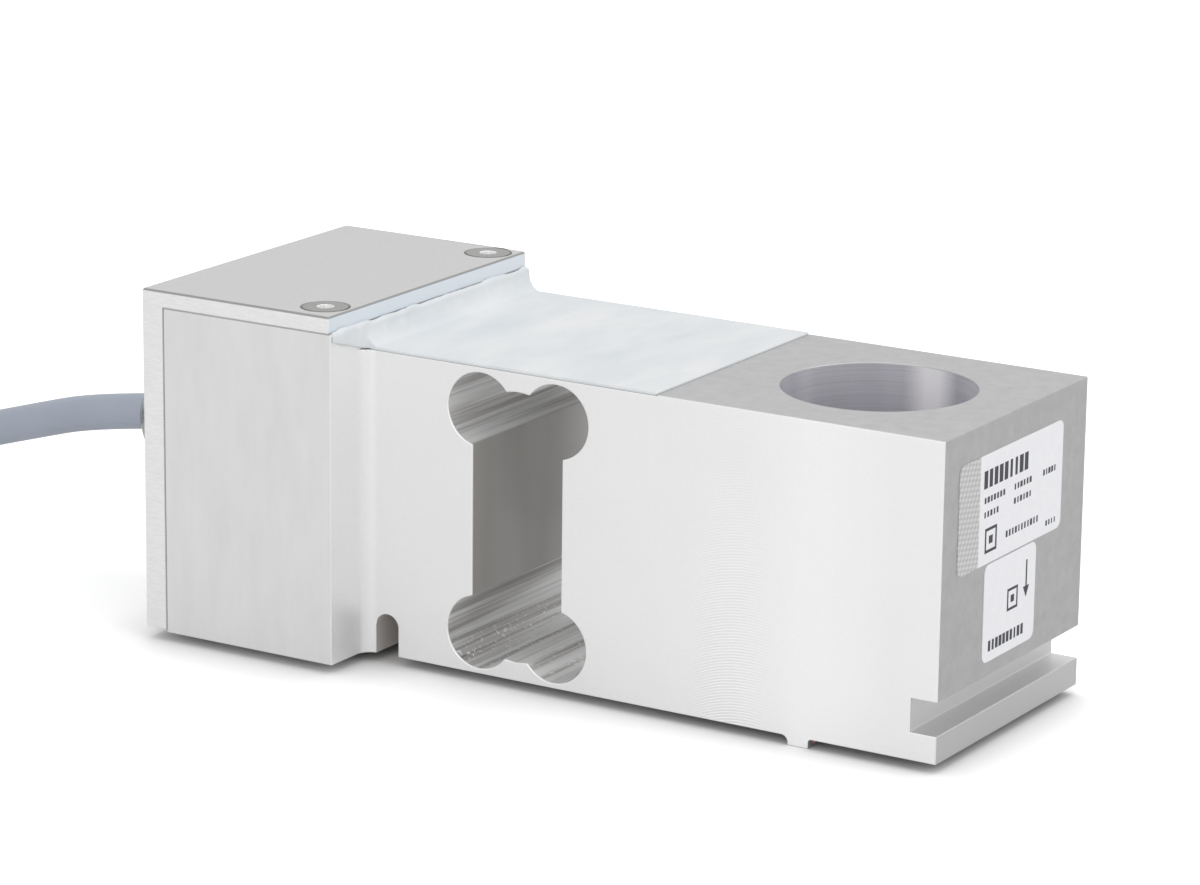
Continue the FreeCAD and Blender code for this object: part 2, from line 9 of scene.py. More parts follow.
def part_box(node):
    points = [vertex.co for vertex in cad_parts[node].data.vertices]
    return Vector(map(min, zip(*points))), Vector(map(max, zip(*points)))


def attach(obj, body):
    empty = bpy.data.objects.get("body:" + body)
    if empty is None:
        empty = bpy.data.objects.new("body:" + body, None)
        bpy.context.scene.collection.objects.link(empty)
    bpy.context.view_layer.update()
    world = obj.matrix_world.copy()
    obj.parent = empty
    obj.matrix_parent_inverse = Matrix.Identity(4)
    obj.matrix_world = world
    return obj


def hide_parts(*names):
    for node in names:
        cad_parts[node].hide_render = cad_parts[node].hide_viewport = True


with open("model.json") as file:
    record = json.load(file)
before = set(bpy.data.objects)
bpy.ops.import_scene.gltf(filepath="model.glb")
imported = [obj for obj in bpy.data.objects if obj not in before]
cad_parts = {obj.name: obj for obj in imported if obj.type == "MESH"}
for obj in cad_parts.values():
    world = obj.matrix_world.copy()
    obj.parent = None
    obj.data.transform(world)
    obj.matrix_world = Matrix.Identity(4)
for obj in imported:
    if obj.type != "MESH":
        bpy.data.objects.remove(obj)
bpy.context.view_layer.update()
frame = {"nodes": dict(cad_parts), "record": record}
nodes = frame["nodes"]
print("frame loaded:", len(nodes), "nodes")


# Metres and degrees, looking at the beam's front side and its load end.
camera = {"place": (0.40534, -0.6648, 0.2469), "turn": (75.0908, -0.6475, 31.6355), "lens": 142.14}


def addCamera():
    data = bpy.data.cameras.new("camera")
    data.lens = camera["lens"]
    data.sensor_width = 36.0
    data.clip_start = 0.01
    view = bpy.data.objects.new("camera", data)
    view.location = camera["place"]
    view.rotation_euler = Euler([math.radians(angle) for angle in camera["turn"]])
    bpy.context.collection.objects.link(view)
    bpy.context.scene.camera = view


class Socket:
    # A socket that adds Math nodes when it is used in an expression.
    def __init__(self, graph, out):
        self.graph = graph
        self.out = out

    def math(self, operation, other=None):
        values = [self] if other is None else [self, other]
        return self.graph.node("ShaderNodeMath", {"operation": operation}, values)

    def __add__(self, other):
        return self.math("ADD", other)

    def __sub__(self, other):
        return self.math("SUBTRACT", other)

    def __mul__(self, other):
        return self.math("MULTIPLY", other)

    def __truediv__(self, other):
        return self.math("DIVIDE", other)

    def __rsub__(self, other):
        return self.graph.node("ShaderNodeMath", {"operation": "SUBTRACT"}, [other, self])

    __radd__ = __add__
    __rmul__ = __mul__

    def above(self, edge, soft=0.0001):
        # 0 below the edge, 1 above it, with a soft step between.
        ramp = (self - (edge - soft)) / (2 * soft)
        return ramp.math("MINIMUM", 1).math("MAXIMUM", 0)

    def below(self, edge, soft=0.0001):
        return 1 - self.above(edge, soft)

    def between(self, low, high, soft=0.0001):
        return self.above(low, soft) * self.below(high, soft)


class Graph:
    # A node tree and the ways its nodes are made.
    def __init__(self, tree):
        self.tree = tree

    def node(self, kind, settings, values, out=0):
        made = self.tree.nodes.new(kind)
        for key, setting in settings.items():
            if key == "stops":
                self.setStops(made.color_ramp, setting)
            else:
                setattr(made, key, setting)
        pairs = values.items() if isinstance(values, dict) else enumerate(values)
        for key, value in pairs:
            self.feed(made.inputs[key], value)
        return Socket(self, made.outputs[out])

    def setStops(self, ramp, stops):
        while len(ramp.elements) > 1:
            ramp.elements.remove(ramp.elements[0])
        for index, (place, colour) in enumerate(stops):
            stop = ramp.elements[0] if index == 0 else ramp.elements.new(place)
            stop.position = place
            stop.color = (*colour, 1)

    def feed(self, entry, value):
        if isinstance(value, Socket):
            self.tree.links.new(value.out, entry)
        elif entry.type == "RGBA" and len(value) == 3:
            entry.default_value = (*value, 1)
        else:
            entry.default_value = value


class Finish(Graph):
    # One material: its pattern reads Object coordinates.
    def __init__(self, name):
        self.material = bpy.data.materials.new(name)
        self.material.use_nodes = True
        super().__init__(self.material.node_tree)
        self.shader = self.tree.nodes["Principled BSDF"]
        self.place = self.node("ShaderNodeTexCoord", {}, [], out="Object")

    def axes(self):
        return [self.node("ShaderNodeSeparateXYZ", {}, [self.place], out=i) for i in range(3)]

    def stretched(self, scale):
        return self.node("ShaderNodeMapping", {}, {"Vector": self.place, "Scale": scale})

    def noise(self, scale, detail=3.0, rough=0.5, vector=None):
        settings = {"Vector": vector or self.place, "Scale": scale, "Detail": detail, "Roughness": rough}
        return self.node("ShaderNodeTexNoise", {}, settings)

    def blend(self, mask, first, second):
        # The first colour where the mask is 0, the second where it is 1.
        keys = {"Factor": mask, 6: first, 7: second}
        return self.node("ShaderNodeMix", {"data_type": "RGBA"}, keys, out=2)

    def ramp(self, value, stops):
        return self.node("ShaderNodeValToRGB", {"stops": stops}, [value])

    def bump(self, height, strength, distance):
        values = {"Height": height, "Strength": strength, "Distance": distance}
        return self.node("ShaderNodeBump", {}, values)

    def finish(self, **sockets):
        for key, value in sockets.items():
            self.feed(self.shader.inputs[key.replace("_", " ")], value)
        return self.material


def grey(level, warm=0.0):
    return (level * (1 + warm), level, level * (1 - warm))


# A white room: the camera and the gloss see it nearly white, the rest lights the part plainly.
studio = {"light": 0.62, "gloss": 0.86, "floorSize": 6.0, "floorLight": 0.8, "floorSeen": 1.3,
          "shadowReach": 0.014, "shadowTone": 0.6,
          "softboxes": {"topSoftbox": ((-0.1, 0.45, 1.2), (1.3, 1.2), 4.4),
                        "frontSoftbox": ((0.1, -1.3, 0.55), (1.2, 0.8), 5.0),
                        "rightSoftbox": ((1.3, 0.2, 0.6), (1.5, 1.4), 6.3)}}


def addSoftbox(name, place, size, power):
    data = bpy.data.lights.new(name, "AREA")
    data.shape = "RECTANGLE"
    data.size, data.size_y = size
    data.energy = power
    lamp = bpy.data.objects.new(name, data)
    lamp.location = place
    lamp.rotation_euler = (Vector((0, 0, 0.03)) - Vector(place)).to_track_quat("-Z", "Y").to_euler()
    bpy.context.collection.objects.link(lamp)


def makeWorld():
    world = bpy.data.worlds.new("studio")
    world.use_nodes = True
    bpy.context.scene.world = world
    g = Graph(world.node_tree)
    seen = g.node("ShaderNodeLightPath", {}, [], out="Is Camera Ray")
    glossy = g.node("ShaderNodeLightPath", {}, [], out="Is Glossy Ray") * studio["gloss"]
    light = g.tree.nodes["Background"]
    g.feed(light.inputs["Color"], (1.0, 1.0, 1.0))
    g.feed(light.inputs["Strength"], seen.math("MAXIMUM", glossy).math("MAXIMUM", studio["light"]))


def makeFloor():
    half = studio["floorSize"] / 2
    mesh = bpy.data.meshes.new("floor")
    corners = [(-half, -half, 0), (half, -half, 0), (half, half, 0), (-half, half, 0)]
    mesh.from_pydata(corners, [], [(0, 1, 2, 3)])
    floor = bpy.data.objects.new("floor", mesh)
    bpy.context.collection.objects.link(floor)
    g = Finish("paleFloor")
    seen = g.node("ShaderNodeLightPath", {}, [], out="Is Camera Ray")
    # A painted shadow, from ambient occlusion, where the part nearly touches the floor, as the light is even.
    near = g.node("ShaderNodeAmbientOcclusion", {"samples": 8}, {"Distance": studio["shadowReach"]}, out="AO")
    paintedShadow = g.blend(near, grey(studio["shadowTone"]), grey(studio["floorSeen"]))
    colour = g.blend(seen, grey(studio["floorLight"]), paintedShadow)
    diffuse = g.node("ShaderNodeBsdfDiffuse", {}, {"Color": colour})
    g.feed(g.tree.nodes["Material Output"].inputs["Surface"], diffuse)
    mesh.materials.append(g.material)


cable = {"radius": 0.00325, "length": 2.94, "colour": (0.36, 0.40, 0.47)}
# From the gland down to the floor and along it to the hank.
cableRoute = [(-0.09596, 0.0, 0.0312), (-0.1100, 0.0, 0.0292), (-0.1225, 0.0, 0.0256),
              (-0.1360, -0.0012, 0.0217), (-0.1515, -0.0076, 0.0170), (-0.1665, -0.0180, 0.0116),
              (-0.1820, -0.0250, 0.0072), (-0.1975, -0.0268, 0.00445), (-0.2095, -0.0268, 0.00445)]
# An oval hank; each turn moves to the next lane over the share "shift" of its way.
hank = {"layers": 5, "pitch": 0.0066, "inner": 0.0202, "nearX": -0.23455, "straight": 0.0699,
        "low": 0.00445, "tailY": 0.0235, "tailX": 0.060, "firstShift": 0.75, "stagger": 0.06,
        "shift": 0.25, "points": 16}


def hankCells():
    # The lane and height of each turn, bottom layer first, then the tail on top.
    cells = []
    for layer in range(hank["layers"]):
        lanes = [hank["inner"] + hank["pitch"], hank["inner"]]
        if layer % 2:
            lanes.reverse()
        cells += [(lane, hank["low"] + layer * hank["pitch"]) for lane in lanes]
    return cells + [(hank["tailY"], hank["low"] + hank["layers"] * hank["pitch"])]


def arcStep():
    # Half the turn from one point of a round end to the next.
    return math.radians(15)


def trackPoint(step, lane):
    # The points round an oval lane: side, far end, side, near end.
    half = hank["points"] // 2
    side, straight = step % half, hank["straight"]
    way = -1 if step < half else 1
    middle = hank["nearX"] - straight / 2
    if side < 2:
        return middle + way * (2 * side - 1) * (straight / 2 - lane * math.tan(arcStep())), way * lane
    turn = arcStep() * (1 + 2 * (side - 2))
    reach = lane / math.cos(arcStep())
    return middle + way * (straight / 2 + reach * math.sin(turn)), way * reach * math.cos(turn)


def hankRoute():
    cells = hankCells()
    route = []
    for turn in range(len(cells) - 1):
        shift = hank["firstShift"] - hank["stagger"] * turn
        steps = hank["points"] if turn < len(cells) - 2 else hank["points"] // 2
        for step in range(steps):
            way = min(max((step / hank["points"] - shift) / hank["shift"], 0), 1)
            way = way * way * (3 - 2 * way)
            lane, height = [a + (b - a) * way for a, b in zip(cells[turn], cells[turn + 1])]
            x, y = trackPoint(step, lane)
            route.append((x, y, height))
    lane, height = cells[-1]
    farX = hank["nearX"] - hank["straight"]
    return route + [(farX + lane * math.tan(arcStep()), lane, height), (farX + hank["tailX"], lane, height)]


gland = {"bodyEdge": 0.00015, "nutEdge": 0.0003}


def makeCable(material):
    route = cableRoute + hankRoute()
    data = bpy.data.curves.new("cableLine", "CURVE")
    data.dimensions = "3D"
    data.bevel_depth = cable["radius"]
    data.bevel_resolution = 7
    data.use_fill_caps = True
    spline = data.splines.new("NURBS")
    spline.points.add(len(route) - 1)
    for point, place in zip(spline.points, route):
        point.co = (*place, 1)
    spline.order_u = 3
    spline.use_endpoint_u = True
    spline.resolution_u = 6
    data.materials.append(material)
    piece = bpy.data.objects.new("cableLine", data)
    bpy.context.collection.objects.link(piece)
    return piece


# Where the block's faces and cuts lie, so that each gets its own finish.
beam = {"front": -0.0204, "back": 0.0307, "top": 0.0554, "base": 0.0016, "end": 0.07494,
        "headEnd": -0.03586, "boreX": 0.04924, "boreY": 0.00515, "boreRadius": 0.0164,
        "windowX": -0.00516, "windowHalf": 0.0154, "windowMiddle": 0.0078, "windowLow": 0.0022,
        "windowHigh": 0.0545, "slotX": -0.03136, "slotHalf": 0.0023, "slotTop": 0.0089,
        "grooveX": 0.0701, "grooveLow": 0.0064, "grooveHigh": 0.0121, "marksX": 0.040,
        "marksRadius": 0.022, "marksPitch": 0.000505, "edgeBreak": 0.0002, "sideOff": 0.02547,
        "skin": 0.0001}


def cutterArcs(across, along, centre, radius, pitch):
    # The arcs that a face cutter leaves as it travels.
    off = across - centre
    arc = (radius * radius - off * off).math("MAXIMUM", 0).math("SQRT")
    return ((along - arc) * (2 * math.pi / pitch)).math("SINE")


def beamMasks(x, y, z):
    # 1 on each of the block's cuts and sides, 0 elsewhere.
    skin = beam["skin"]
    offX, offY = x - beam["boreX"], y - beam["boreY"]
    fromBore = (offX * offX + offY * offY).math("SQRT")
    across = y.between(beam["front"] + 2 * skin, beam["back"] - 2 * skin, 0.00005)
    inBore = fromBore.below(beam["boreRadius"] + 0.00015, 0.00005)
    inWindow = x.between(beam["windowX"] - beam["windowHalf"], beam["windowX"] + beam["windowHalf"], 0.00005)
    offWindow = (x - beam["windowX"]).math("ABSOLUTE")
    inMiddle = offWindow.below(beam["windowMiddle"] + 0.0013, 0.0002) * z.between(0.0145, 0.0425, 0.0003)
    inSlot = x.between(beam["slotX"] - beam["slotHalf"], beam["slotX"] + beam["slotHalf"], 0.00002)
    inGroove = x.above(beam["grooveX"] - skin)
    # A painted highlight along the window's front edge.
    rim = y.between(beam["front"] + 0.00003, beam["front"] + 0.00024, 0.00002)
    return {
        "bore": inBore * z.between(0.010, beam["top"] - 2 * skin, 0.00005),
        # A painted highlight on the bore's far wall.
        "paintedBoreHighlight": offX.between(-0.0020, 0.0048, 0.0020) * offY.above(0.0, 0.002),
        "window": inWindow * z.between(beam["windowLow"], beam["windowHigh"], 0.00005) * across,
        "lobe": 1 - inMiddle,
        "slot": inSlot * z.below(beam["slotTop"]) * across,
        "groove": inGroove * z.between(beam["grooveLow"] - skin, beam["grooveHigh"] + skin) * across,
        "lip": x.above(beam["end"] - skin) * z.below(beam["grooveLow"]),
        "rim": rim * x.between(-0.0215, 0.0110) * z.below(0.0548),
        "side": (y - beam["boreY"]).math("ABSOLUTE").above(beam["sideOff"], 0.00004),
        "head": x.below(beam["headEnd"] - 0.00012, 0.00004),
    }


def cutterMarks(x, z):
    # Clear low down before the stop rib, and faint in a band at the bore's middle.
    marks = cutterArcs(x, z, beam["marksX"], beam["marksRadius"], beam["marksPitch"])
    band = x.between(beam["boreX"] - 0.0012, beam["boreX"] + 0.0022, 0.0012)
    return marks * (x.between(0.030, 0.042, 0.004) * (1 - z * 19).math("MAXIMUM", 0.12) + band * 0.25)


def windowColour(g, inside, streaks, z):
    # The lobes are reamed in long streaks with a few crumbs low down, and the middle is plain.
    broad = g.noise(1.0, 2, 0.5, g.stretched((260, 10, 260)))
    crumbs = g.noise(1200, 3, 0.6).above(0.61, 0.02) * z.below(0.0056, 0.0012)
    lobe = g.ramp(streaks * 0.5 + broad * 0.5, [(0.36, grey(0.22, 0.02)), (0.45, grey(0.50, 0.02)),
                                                (0.52, grey(0.80)), (0.6, grey(1.0))])
    lobe = g.blend(crumbs, lobe, grey(0.9))
    wall = g.noise(1.0, 2, 0.4, g.stretched((20, 55, 12)))
    wall = g.ramp(wall, [(0.3, grey(0.40, 0.04)), (0.7, grey(0.62, 0.02))])
    return g.blend(inside["lobe"], wall, lobe)


def boreColour(g, inside):
    # Turned rings, with a painted highlight along the bore's far wall.
    turned = g.noise(1.0, 2, 0.5, g.stretched((30, 30, 5200)))
    turned = g.ramp(turned, [(0.35, (0.66, 0.65, 0.69)), (0.65, (0.76, 0.75, 0.79))])
    sheen = g.noise(1.0, 2, 0.5, g.stretched((130, 130, 2)))
    turned = g.blend((sheen - 0.35) * 1.2, turned, (0.50, 0.49, 0.53))
    return g.blend(inside["paintedBoreHighlight"], turned, (1.0, 0.99, 1.0))


def machinedBeam():
    g = Finish("machinedBeam")
    x, y, z = g.axes()
    inside = beamMasks(x, y, z)
    fine = g.noise(1.0, 3, 0.65, g.stretched((2300, 2300, 3600)))
    cloud = g.noise(26, 3, 0.5)
    streaks = g.noise(1.0, 4, 0.75, g.stretched((950, 7, 950)))
    marks = cutterMarks(x, z)
    pale = x.above(0.018, 0.02) * 0.14 + x.between(0.044, 0.060, 0.006) * 0.2
    side = g.ramp(fine * 0.4 + cloud * 0.3 + marks * 0.3 + pale + 0.1, [(0.2, grey(0.81)), (0.9, grey(0.99))])
    headSide = g.noise(1.0, 3, 0.6, g.stretched((260, 260, 60)))
    headSide = g.ramp(headSide, [(0.3, grey(0.75)), (0.7, grey(0.80))])
    plain = g.ramp(g.noise(420, 4, 0.65), [(0.3, grey(0.45)), (0.7, grey(0.51))])

    colour = g.blend(inside["side"], plain, g.blend(inside["head"], side, headSide))
    colour = g.blend(inside["window"], colour, windowColour(g, inside, streaks, z))
    colour = g.blend(inside["bore"], colour, boreColour(g, inside))
    colour = g.blend(inside["slot"], colour, grey(0.75, 0.04))
    # Painted light: the groove is paler to make up for the shade it lies in.
    colour = g.blend(inside["groove"], colour, grey(0.70))
    # Painted light: the end face below the groove is paler to make up for the shade low down.
    colour = g.blend(inside["lip"], colour, grey(0.58))
    # Painted highlight along the window's front edge.
    colour = g.blend(inside["rim"], colour, grey(1.0))
    metal = 0.85 - 0.35 * inside["side"] - 0.6 * inside["window"] - 0.4 * inside["slot"]
    metal = metal - 0.3 * inside["bore"] * (1 + inside["paintedBoreHighlight"])
    rough = 0.44 + 0.12 * (fine - 0.5) - 0.10 * inside["window"] - 0.12 * inside["bore"]
    height = fine * 0.5 + marks * 1.2 * inside["side"] + streaks * 2.0 * inside["window"] * inside["lobe"]
    return g.finish(Base_Color=colour, Metallic=metal, Roughness=rough, Normal=g.bump(height, 0.3, 0.00006))


cover = {"top": 0.0627, "edgeX": -0.03626, "chamfer": 0.0003, "edgeBreak": 0.00015}


def satinPlate():
    g = Finish("satinPlate")
    x, _, z = g.axes()
    onTop = z.above(cover["top"] - 0.00005, 0.00003)
    # Painted shade on the chamfer round the top.
    paintedChamferShade = z.above(cover["top"] - cover["chamfer"] - 0.0001, 0.00004) * (1 - onTop)
    facesCoat = x.above(cover["edgeX"] - 0.0001, 0.00004)
    fine = g.noise(1.0, 3, 0.6, g.stretched((700, 700, 4200)))
    grain = g.noise(3200, 2, 0.5)
    edges = g.ramp(fine, [(0.3, grey(0.84)), (0.7, grey(0.92))])
    edges = g.blend(facesCoat, edges, (0.77, 0.82, 0.87))
    top = g.ramp(grain, [(0.3, grey(0.56)), (0.7, grey(0.60))])
    colour = g.blend(paintedChamferShade, g.blend(onTop, edges, top), grey(0.34))
    return g.finish(Base_Color=colour, Metallic=0.6, Roughness=0.42 + 0.1 * (fine - 0.5),
                    Normal=g.bump(grain, 0.1, 0.00003))


# The silicone's skin: its grain, its lumps along the seam, and the bead under the cover.
coat = {"voxel": 0.0003, "wave": 0.00006, "lump": 0.00045, "seamX": -0.0353, "seamReach": 0.0016,
        "edgeZ": 0.0562, "sink": 0.00015, "beadX": -0.03592, "beadZ": 0.05955, "beadRadius": 0.00042,
        "beadLow": -0.0300, "beadHigh": 0.0303, "beadSteps": 120, "beadSides": 8}


def silicone():
    g = Finish("silicone")
    z = g.axes()[2]
    waves = g.noise(1.0, 3, 0.5, g.stretched((120, 45, 120)))
    lumps = g.noise(420, 3, 0.55)
    high = z.above(0.0567, 0.0008)
    colour = g.ramp(waves, [(0.3, (0.67, 0.71, 0.74)), (0.7, (0.79, 0.805, 0.815))])
    return g.finish(Base_Color=colour, Roughness=0.38 + 0.2 * (lumps - 0.5), Coat_Weight=0.1 + 0.1 * high,
                    Normal=g.bump(waves * 1.0 + lumps * (0.15 + 0.5 * high), 0.5, 0.0004))


def jacket():
    g = Finish("jacket")
    fine = g.noise(2600, 2, 0.5)
    cloud = g.noise(60, 2, 0.5)
    dark, pale = [tuple(share * channel for channel in cable["colour"]) for share in (0.94, 1.05)]
    return g.finish(Base_Color=g.ramp(cloud * 0.7 + fine * 0.3, [(0.3, dark), (0.7, pale)]),
                    Roughness=0.42 + 0.15 * (fine - 0.5), Normal=g.bump(fine, 0.1, 0.00005))


label = {"stripHigh": -0.0080, "stripBase": 0.0316, "weave": 0.0021, "ink": (0.035, 0.035, 0.045)}


def labelFilm():
    g = Finish("labelFilm")
    y, z = g.axes()[1:]
    inStrip = y.below(label["stripHigh"], 0.00006) * z.above(label["stripBase"], 0.00004)
    slant = ((y * 1.0 + z * 0.8) * (2 * math.pi / label["weave"])).math("SINE")
    cross = ((y * 0.6 - z * 1.6) * (2 * math.pi / label["weave"])).math("SINE")
    leaf = (slant * cross).above(0.1, 0.35)
    strip = g.blend(leaf, grey(0.50), grey(0.66))
    film = g.ramp(g.noise(900, 2, 0.5), [(0.3, (0.83, 0.83, 0.86)), (0.7, (0.86, 0.86, 0.89))])
    return g.finish(Base_Color=g.blend(inStrip, film, strip), Metallic=0.3 * inStrip, Roughness=0.36)


def simpleFinish(name, colour, metallic=0.0, rough=0.4):
    # One colour with a fine grain, for the small pieces.
    g = Finish(name)
    fine = g.noise(900, 3, 0.55)
    dark, pale = [tuple(min(1, share * channel) for channel in colour) for share in (0.92, 1.08)]
    return g.finish(Base_Color=g.ramp(fine, [(0.3, dark), (0.7, pale)]), Metallic=metallic,
                    Roughness=rough + 0.2 * (fine - 0.5), Normal=g.bump(fine, 0.12, 0.00004))


screws = {"x": -0.04116, "front": -0.0245, "back": 0.0260, "radius": 0.0041, "rim": 0.0003,
          "socket": 0.0015, "floor": 0.0006, "low": 0.058, "edgeBreak": 0.00008}


def screwSteel():
    # The cover's screws: painted shade round each head's edge, a painted highlight in the hexagon socket and
    # painted shade on its floor.
    g = Finish("screwSteel")
    x, y, z = g.axes()
    offX = x - screws["x"]
    offY = (y - screws["front"]).math("ABSOLUTE").math("MINIMUM", (y - screws["back"]).math("ABSOLUTE"))
    fromAxis = (offX * offX + offY * offY).math("SQRT")
    high = z.above(screws["low"])
    rim = fromAxis.above(screws["radius"] - screws["rim"], 0.00008) * high
    inSocket = fromAxis.below(screws["socket"], 0.00005) * high
    fine = g.noise(700, 3, 0.55)
    colour = g.blend(rim, g.ramp(fine, [(0.3, grey(0.23, 0.02)), (0.7, grey(0.32, 0.02))]), grey(0.14))
    colour = g.blend(inSocket, colour, grey(0.95))
    colour = g.blend(fromAxis.below(screws["floor"], 0.0001) * high, colour, grey(0.18))
    return g.finish(Base_Color=colour, Metallic=0.95 - 0.5 * inSocket, Roughness=0.24 + 0.2 * (fine - 0.5),
                    Normal=g.bump(fine, 0.2, 0.00004))


endCores = {"y": 0.0235, "pitch": 0.0008,
            "colours": [(0.80, 0.80, 0.78), (0.03, 0.03, 0.03), (0.05, 0.12, 0.5), (0.55, 0.04, 0.03),
                        (0.04, 0.32, 0.08), (0.30, 0.30, 0.32)]}


def corePlastic():
    # Six cores side by side, one colour each.
    g = Finish("corePlastic")
    y = g.axes()[1]
    colour = endCores["colours"][0]
    for index, following in enumerate(endCores["colours"][1:]):
        edge = endCores["y"] + (index - 2) * endCores["pitch"]
        colour = g.blend(y.above(edge, 0.00005), colour, following)
    fine = g.noise(1800, 2, 0.5)
    return g.finish(Base_Color=colour, Roughness=0.36 + 0.2 * fine, Normal=g.bump(fine, 0.1, 0.00004))


def makeFinishes():
    return {
        "machined_aluminium": machinedBeam(),
        "cover_plate": satinPlate(),
        "silicone": silicone(),
        "cable_jacket": jacket(),
        "seal_rubber": simpleFinish("sealRubber", grey(0.42), rough=0.7),
        "screw_steel": screwSteel(),
        "plated_brass": simpleFinish("platedBrass", (0.50, 0.49, 0.46), 1.0, 0.22),
        "gland_rubber": simpleFinish("glandRubber", grey(0.05), rough=0.6),
        "core_plastic": corePlastic(),
        "board_laminate": simpleFinish("boardLaminate", (0.06, 0.25, 0.12), rough=0.35),
        "spacer_brass": simpleFinish("spacerBrass", (0.7, 0.55, 0.28), 1.0, 0.3),
        "tinned_brass": simpleFinish("tinnedBrass", (0.75, 0.74, 0.7), 1.0, 0.3),
        "resistor_body": simpleFinish("resistorBody", (0.1, 0.22, 0.42), rough=0.3),
        "lead_ribbon": simpleFinish("leadRibbon", (0.72, 0.42, 0.28), 1.0, 0.35),
        "gauge_foil": simpleFinish("gaugeFoil", (0.55, 0.36, 0.1), rough=0.4),
        "label_film": labelFilm(),
        "sealing_lacquer": simpleFinish("sealingLacquer", (0.33, 0.12, 0.12), rough=0.3),
        "tie_nylon": simpleFinish("tieNylon", grey(0.04), rough=0.4),
    }


def mergedCopy(node, name):
    # The node's shape with its loose triangles joined into one skin.
    mesh = nodes[node].data.copy()
    shell = bmesh.new()
    shell.from_mesh(mesh)
    bmesh.ops.remove_doubles(shell, verts=shell.verts, dist=0.000001)
    bmesh.ops.dissolve_limit(shell, angle_limit=math.radians(1.5), verts=shell.verts, edges=shell.edges)
    shell.to_mesh(mesh)
    shell.free()
    mesh.shade_smooth()
    piece = bpy.data.objects.new(name, mesh)
    bpy.context.collection.objects.link(piece)
    return piece


def evaluatedMesh(piece):
    # The modifiers' result as a plain mesh, with the modifiers gone.
    seen = piece.evaluated_get(bpy.context.evaluated_depsgraph_get())
    mesh = bpy.data.meshes.new_from_object(seen)
    piece.modifiers.clear()
    piece.data = mesh
    return mesh


def brokenEdges(node, name, width):
    piece = mergedCopy(node, name)
    bevel = piece.modifiers.new("edgeBreak", "BEVEL")
    bevel.width = width
    bevel.segments = 2
    bevel.limit_method = "ANGLE"
    bevel.angle_limit = math.radians(32)
    bevel.use_clamp_overlap = False
    weigh = piece.modifiers.new("flatFaces", "WEIGHTED_NORMAL")
    weigh.weight = 100
    weigh.keep_sharp = False
    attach(piece, "root")
    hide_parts(node)
    return piece


def addBead(mesh):
    # An uneven bead of silicone along the seam under the cover.
    shell = bmesh.new()
    shell.from_mesh(mesh)
    steps, sides = coat["beadSteps"], coat["beadSides"]
    turns = [math.tau * part / sides for part in range(sides)]
    rings = []
    for index in range(steps + 1):
        y = coat["beadLow"] + (coat["beadHigh"] - coat["beadLow"]) * index / steps
        ripple = 0.9 * noise.noise(Vector((0.4, y * 330, 2.1)))
        blob = 0.5 * max(0, noise.noise(Vector((7.1, y * 120, 0.2))))
        radius = coat["beadRadius"] * max(0.55, 1 + ripple + blob)
        ring = [(radius * math.cos(turn), radius * math.sin(turn)) for turn in turns]
        rings.append([shell.verts.new((coat["beadX"] + x, y, coat["beadZ"] + z)) for x, z in ring])
    for here, there in zip(rings, rings[1:]):
        for part in range(sides):
            after = (part + 1) % sides
            shell.faces.new((here[part], there[part], there[after], here[after]))
    shell.faces.new(rings[0])
    shell.faces.new(list(reversed(rings[-1])))
    shell.to_mesh(mesh)
    shell.free()


def siliconeCoat():
    # The coat over the gauges: brushed on, with small lumps along the seam under the cover.
    piece = mergedCopy("top_coating", "siliconeCoat")
    addBead(piece.data)
    remesh = piece.modifiers.new("skin", "REMESH")
    remesh.mode = "VOXEL"
    remesh.voxel_size = coat["voxel"]
    remesh.use_smooth_shade = True
    soften = piece.modifiers.new("soften", "SMOOTH")
    soften.factor = 0.5
    soften.iterations = 2
    mesh = evaluatedMesh(piece)
    normals = [corner.normal.copy() for corner in mesh.vertices]
    for corner, normal in zip(mesh.vertices, normals):
        place = corner.co
        if place.z < beam["top"] + 0.0001 and normal.z < 0.5 and place.x > beam["headEnd"] + 0.001:
            corner.co.z -= coat["sink"]
        if normal.z + normal.x < 0.2 or place.z < coat["edgeZ"] - 0.0006:
            continue
        near = max(0.0, 1 - abs(place.x - coat["seamX"]) / coat["seamReach"])
        wave = noise.noise(Vector((place.x * 150, place.y * 60, 0.3))) * coat["wave"]
        lump = max(0.0, noise.noise(Vector((place.x * 300, place.y * 420, 1.7)))) * coat["lump"] * near
        corner.co = place + normal * (wave + lump)
    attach(piece, "root")
    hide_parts("top_coating")


class Shapes(Graph):
    # A Geometry Nodes tree with named inputs, ending in one realized mesh.
    def __init__(self, name, inputs):
        super().__init__(bpy.data.node_groups.new(name, "GeometryNodeTree"))
        self.tree.interface.new_socket("Geometry", in_out="OUTPUT", socket_type="NodeSocketGeometry")
        for title, kind in inputs.items():
            self.tree.interface.new_socket(title, in_out="INPUT", socket_type="NodeSocket" + kind)
        self.entry = self.tree.nodes.new("NodeGroupInput")

    def given(self, title):
        return Socket(self, self.entry.outputs[title])

    def close(self, shape, material):
        shape = self.node("GeometryNodeRealizeInstances", {}, [shape])
        shape = self.node("GeometryNodeSetMaterial", {}, {"Geometry": shape, "Material": material})
        self.feed(self.tree.nodes.new("NodeGroupOutput").inputs[0], shape)

    def made(self, name, values, points=()):
        mesh = bpy.data.meshes.new(name)
        mesh.from_pydata(points, [], [])
        piece = bpy.data.objects.new(name, mesh)
        bpy.context.collection.objects.link(piece)
        maker = piece.modifiers.new("maker", "NODES")
        maker.node_group = self.tree
        for item in self.tree.interface.items_tree:
            if item.in_out == "INPUT" and item.name in values:
                maker[item.identifier] = values[item.name]
        return piece


